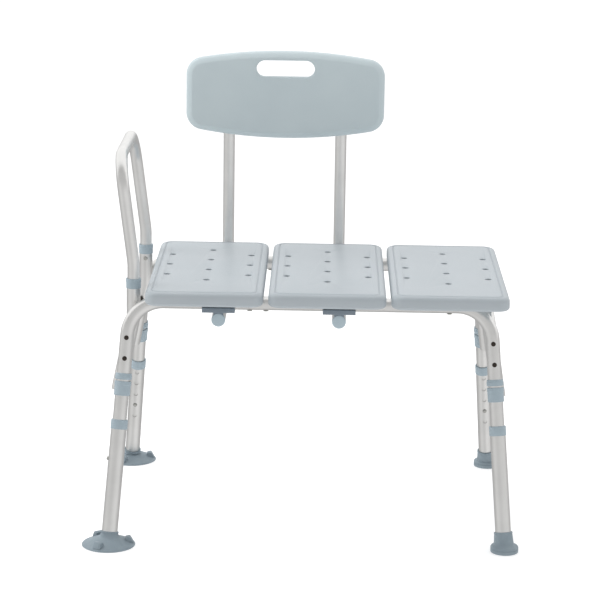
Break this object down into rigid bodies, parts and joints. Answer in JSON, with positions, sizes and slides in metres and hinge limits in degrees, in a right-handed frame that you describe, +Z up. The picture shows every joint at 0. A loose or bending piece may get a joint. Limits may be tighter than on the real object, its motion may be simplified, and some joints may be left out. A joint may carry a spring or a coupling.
{
  "type": "bath transfer bench",
  "caption": "Height-adjustable bath transfer bench: a moulded slatted seat on a splayed tubular frame, with a lift-off side arm, a slide-in backrest, suction feet and rubber tips.",
  "frame": {"origin": "on the floor, at the centre of the bench's bounding box", "axes": "+Z up, +X to the bench's right as seen from the front, +Y to the rear, where the backrest is"},
  "size_m": [0.7972, 0.6326, 0.846],
  "materials": {
    "pad_plastic": "finely textured blow-moulded polyethylene, pale grey blue",
    "fitting_plastic": "smooth satin moulding, grey blue",
    "foot_rubber": "satin rubber, slate blue",
    "anodised_tube": "satin clear anodised",
    "bright_steel": "zinc plated",
    "dark_steel": "blackened, slightly glossy"
  },
  "bodies": {
    "bench_frame": {"seat_pad_left": "pad_plastic", "seat_pad_middle": "pad_plastic", "seat_pad_right": "pad_plastic", "seat_pad_screws": "bright_steel", "front_frame_tube": "anodised_tube", "rear_frame_tube": "anodised_tube", "side_arch_right": "anodised_tube", "arm_socket_front": "anodised_tube", "arm_socket_rear": "anodised_tube", "frame_spacers": "fitting_plastic", "frame_bolts": "dark_steel", "frame_nuts": "dark_steel", "upper_collar_fl": "fitting_plastic", "upper_collar_fr": "fitting_plastic", "upper_collar_rl": "fitting_plastic", "upper_collar_rr": "fitting_plastic", "lower_collar_fl": "fitting_plastic", "lower_collar_fr": "fitting_plastic", "lower_collar_rl": "fitting_plastic", "lower_collar_rr": "fitting_plastic", "leg_insert_fl": "anodised_tube", "leg_insert_fr": "anodised_tube", "leg_insert_rl": "anodised_tube", "leg_insert_rr": "anodised_tube", "arm_collar_front": "fitting_plastic", "arm_collar_rear": "fitting_plastic", "backrest_sleeve_left": "anodised_tube", "backrest_sleeve_right": "anodised_tube", "end_cap_left": "fitting_plastic", "end_cap_right": "fitting_plastic", "saddle_front_left": "fitting_plastic", "saddle_front_right": "fitting_plastic", "saddle_rear_left": "fitting_plastic", "saddle_rear_right": "fitting_plastic"},
    "lower_leg_fl": {"leg_tube_fl": "anodised_tube", "leg_ring_fl": "fitting_plastic", "suction_foot_front": "foot_rubber"},
    "leg_catch_fl": {"leg_button_fl": "bright_steel"},
    "lower_leg_fr": {"leg_tube_fr": "anodised_tube", "leg_ring_fr": "fitting_plastic", "rubber_tip_front": "foot_rubber"},
    "leg_catch_fr": {"leg_button_fr": "bright_steel"},
    "lower_leg_rl": {"leg_tube_rl": "anodised_tube", "leg_ring_rl": "fitting_plastic", "suction_foot_rear": "foot_rubber"},
    "leg_catch_rl": {"leg_button_rl": "bright_steel"},
    "lower_leg_rr": {"leg_tube_rr": "anodised_tube", "leg_ring_rr": "fitting_plastic", "rubber_tip_rear": "foot_rubber"},
    "leg_catch_rr": {"leg_button_rr": "bright_steel"},
    "arm": {"arm_tube": "anodised_tube"},
    "arm_catch_front": {"arm_button_front": "bright_steel"},
    "arm_catch_rear": {"arm_button_rear": "bright_steel"},
    "backrest": {"backrest_panel": "pad_plastic", "backrest_tube_left": "anodised_tube", "backrest_tube_right": "anodised_tube", "backrest_screws": "bright_steel"},
    "backrest_catch_left": {"backrest_button_left": "bright_steel"},
    "backrest_catch_right": {"backrest_button_right": "bright_steel"}
  },
  "joints": [
    {"name": "leg_height_fl", "type": "slide", "parent": "bench_frame", "child": "lower_leg_fl", "axis": [-0.0731, -0.2091, -0.9752], "range_m": [-0.0244, 0.0488]},
    {"name": "leg_height_fr", "type": "slide", "parent": "bench_frame", "child": "lower_leg_fr", "axis": [0.0731, -0.2091, -0.9752], "range_m": [-0.0244, 0.0488]},
    {"name": "leg_height_rl", "type": "slide", "parent": "bench_frame", "child": "lower_leg_rl", "axis": [-0.0731, 0.2091, -0.9752], "range_m": [-0.0244, 0.0732]},
    {"name": "leg_height_rr", "type": "slide", "parent": "bench_frame", "child": "lower_leg_rr", "axis": [0.0731, 0.2091, -0.9752], "range_m": [-0.0244, 0.0732]},
    {"name": "leg_catch_press_fl", "type": "slide", "parent": "bench_frame", "child": "leg_catch_fl", "axis": [0.9973, -0.0153, -0.0715], "range_m": [0, 0.0052], "stiffness_N_per_m": 800, "springref_m": -0.002, "deforming": ["leg_button_fl"]},
    {"name": "leg_catch_press_fr", "type": "slide", "parent": "bench_frame", "child": "leg_catch_fr", "axis": [0, -0.9778, 0.2097], "range_m": [0, 0.0052], "stiffness_N_per_m": 800, "springref_m": -0.002, "deforming": ["leg_button_fr"]},
    {"name": "leg_catch_press_rl", "type": "slide", "parent": "bench_frame", "child": "leg_catch_rl", "axis": [0, 0.9778, 0.2097], "range_m": [0, 0.0052], "stiffness_N_per_m": 800, "springref_m": -0.002, "deforming": ["leg_button_rl"]},
    {"name": "leg_catch_press_rr", "type": "slide", "parent": "bench_frame", "child": "leg_catch_rr", "axis": [0, 0.9778, 0.2097], "range_m": [0, 0.0052], "stiffness_N_per_m": 800, "springref_m": -0.002, "deforming": ["leg_button_rr"]},
    {"name": "arm_lift", "type": "slide", "parent": "bench_frame", "child": "arm", "axis": [0, 0, 1], "range_m": [0, 0.08]},
    {"name": "arm_catch_press_front", "type": "slide", "parent": "arm", "child": "arm_catch_front", "axis": [0, -1, 0], "range_m": [0, 0.0052], "stiffness_N_per_m": 800, "springref_m": -0.002, "deforming": ["arm_button_front"]},
    {"name": "arm_catch_press_rear", "type": "slide", "parent": "arm", "child": "arm_catch_rear", "axis": [0, 1, 0], "range_m": [0, 0.0052], "stiffness_N_per_m": 800, "springref_m": -0.002, "deforming": ["arm_button_rear"]},
    {"name": "backrest_slide", "type": "slide", "parent": "bench_frame", "child": "backrest", "axis": [0, 1, 0], "range_m": [0, 0.17]},
    {"name": "backrest_catch_press_left", "type": "slide", "parent": "backrest", "child": "backrest_catch_left", "axis": [0, 0, 1], "range_m": [0, 0.0052], "stiffness_N_per_m": 800, "springref_m": -0.002, "deforming": ["backrest_button_left"]},
    {"name": "backrest_catch_press_right", "type": "slide", "parent": "backrest", "child": "backrest_catch_right", "axis": [0, 0, 1], "range_m": [0, 0.0052], "stiffness_N_per_m": 800, "springref_m": -0.002, "deforming": ["backrest_button_right"]}
  ]
}
